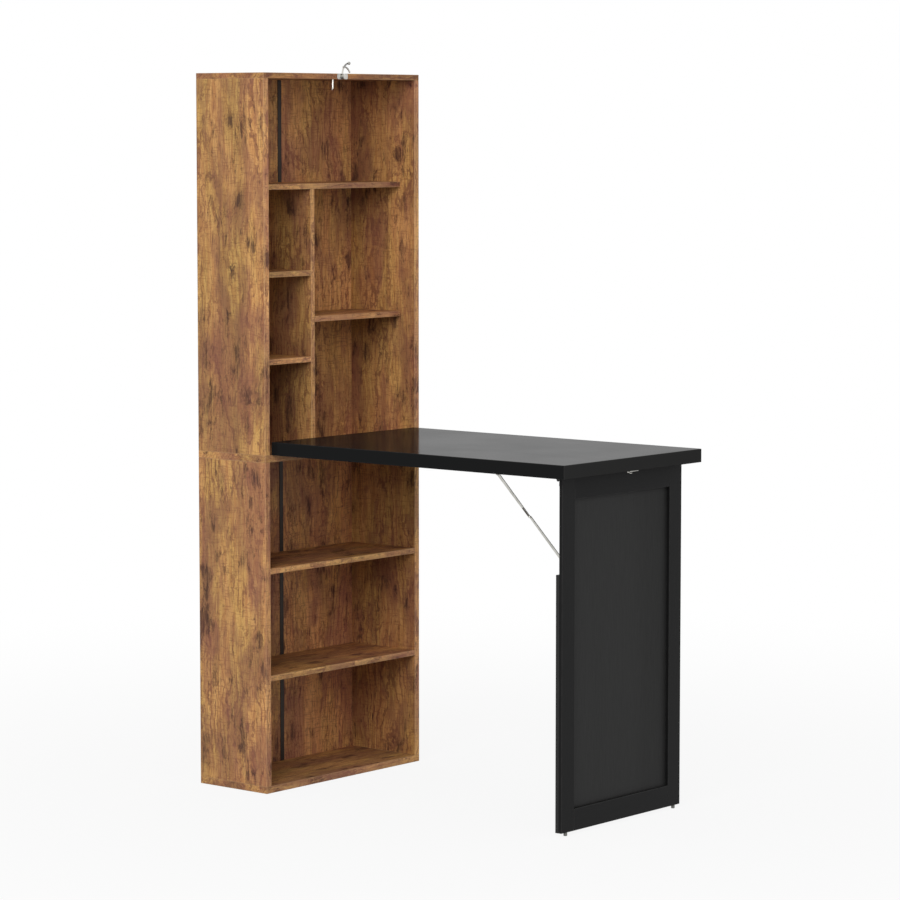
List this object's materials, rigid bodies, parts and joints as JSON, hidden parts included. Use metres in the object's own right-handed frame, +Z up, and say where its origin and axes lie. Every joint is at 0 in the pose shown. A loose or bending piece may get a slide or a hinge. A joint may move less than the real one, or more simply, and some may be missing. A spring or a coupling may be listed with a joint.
{
  "type": "folding desk",
  "caption": "Tall open bookcase in rustic wood with a black drop-leaf desk that folds up against its front, standing on a folding framed leg with braces and held shut by a crescent latch",
  "frame": {"origin": "middle of the bookcase's base on the floor", "axes": "+X the bookcase's right as seen from its front, +Y its back, +Z up; the leaf stands out towards -Y"},
  "size_m": [0.5, 0.9773, 1.5505],
  "materials": {
    "rustic_wood": "rustic brown wood-grain laminate, satin",
    "beech": "plain beech dowel",
    "black_top": "black laminate, semi-gloss",
    "black_frame": "black laminate, satin",
    "black_plastic": "moulded black plastic",
    "black_steel": "black coated steel",
    "zinc_steel": "zinc plated steel",
    "chrome": "bright plated"
  },
  "bodies": {
    "bookcase": {"bottom_board": "rustic_wood", "mid_board": "rustic_wood", "top_board": "rustic_wood", "lower_side_left": "rustic_wood", "lower_side_right": "rustic_wood", "upper_side_left": "rustic_wood", "upper_side_right": "rustic_wood", "lower_shelf": "rustic_wood", "middle_shelf": "rustic_wood", "upper_shelf": "rustic_wood", "divider": "rustic_wood", "cubby_shelf_low": "rustic_wood", "cubby_shelf_high": "rustic_wood", "side_shelf": "rustic_wood", "back_lower_left": "rustic_wood", "back_lower_right": "rustic_wood", "back_upper_left": "rustic_wood", "back_upper_right": "rustic_wood", "back_strip_lower": "black_plastic", "back_strip_upper": "black_plastic", "frame_dowels": "beech", "shelf_dowels": "beech", "leaf_hinge_case_wings": "black_steel", "leaf_hinge_pins": "black_steel", "leaf_stop": "chrome", "latch_base": "chrome", "latch_pivot": "chrome", "case_screws": "zinc_steel"},
    "leaf": {"desk_leaf": "black_top", "leaf_hinge_leaf_wings": "black_steel", "leg_hinge_leaf_wings": "black_steel", "leg_hinge_pins": "black_steel", "brace_leaf_bracket_left": "black_steel", "brace_leaf_bracket_right": "black_steel", "brace_leaf_pins": "zinc_steel", "keeper": "chrome", "leaf_screws": "zinc_steel"},
    "leg": {"leg_stile_left": "black_frame", "leg_stile_right": "black_frame", "leg_top_rail": "black_frame", "leg_bottom_rail": "black_frame", "leg_panel": "black_frame", "leg_glides": "black_plastic", "leg_hinge_leg_wings": "black_steel", "brace_leg_bracket_left": "black_steel", "brace_leg_bracket_right": "black_steel", "brace_leg_pins": "zinc_steel", "leg_screws": "black_steel"},
    "latch": {"latch_lever": "chrome"},
    "brace_upper_left": {"brace_upper_bar_left": "zinc_steel", "brace_upper_rivet_left": "zinc_steel", "brace_catch_left": "black_plastic"},
    "brace_lower_left": {"brace_lower_bar_left": "zinc_steel", "brace_lower_rivet_left": "zinc_steel"},
    "brace_upper_right": {"brace_upper_bar_right": "zinc_steel", "brace_upper_rivet_right": "zinc_steel", "brace_catch_right": "black_plastic"},
    "brace_lower_right": {"brace_lower_bar_right": "zinc_steel", "brace_lower_rivet_right": "zinc_steel"}
  },
  "joints": [
    {"name": "leaf_fold", "type": "hinge", "parent": "bookcase", "child": "leaf", "pos_m": [0, -0.0948, 0.725], "axis": [-1, 0, 0], "range_deg": [0, 90]},
    {"name": "leg_fold", "type": "hinge", "parent": "leaf", "child": "leg", "pos_m": [0, -0.8393, 0.7175], "axis": [1, 0, 0], "range_deg": [0, 90]},
    {"name": "latch_turn", "type": "hinge", "parent": "bookcase", "child": "latch", "pos_m": [0, -0.0995, 1.519], "axis": [0, 1, 0], "range_deg": [0, 150]},
    {"name": "brace_upper_turn_left", "type": "hinge", "parent": "leaf", "child": "brace_upper_left", "pos_m": [-0.184, -0.6753, 0.7175], "axis": [-1, 0, 0], "range_deg": [0, 45]},
    {"name": "brace_lower_turn_left", "type": "hinge", "parent": "leg", "child": "brace_lower_left", "pos_m": [-0.184, -0.8393, 0.5535], "axis": [1, 0, 0], "range_deg": [0, 45]},
    {"name": "brace_upper_turn_right", "type": "hinge", "parent": "leaf", "child": "brace_upper_right", "pos_m": [0.184, -0.6753, 0.7175], "axis": [-1, 0, 0], "range_deg": [0, 45]},
    {"name": "brace_lower_turn_right", "type": "hinge", "parent": "leg", "child": "brace_lower_right", "pos_m": [0.184, -0.8393, 0.5535], "axis": [1, 0, 0], "range_deg": [0, 45]}
  ],
  "couplings": [
    {"joint": "brace_upper_turn_left", "follows": "leg_fold", "ratio": 0.5},
    {"joint": "brace_lower_turn_left", "follows": "leg_fold", "ratio": 0.5},
    {"joint": "brace_upper_turn_right", "follows": "leg_fold", "ratio": 0.5},
    {"joint": "brace_lower_turn_right", "follows": "leg_fold", "ratio": 0.5}
  ]
}
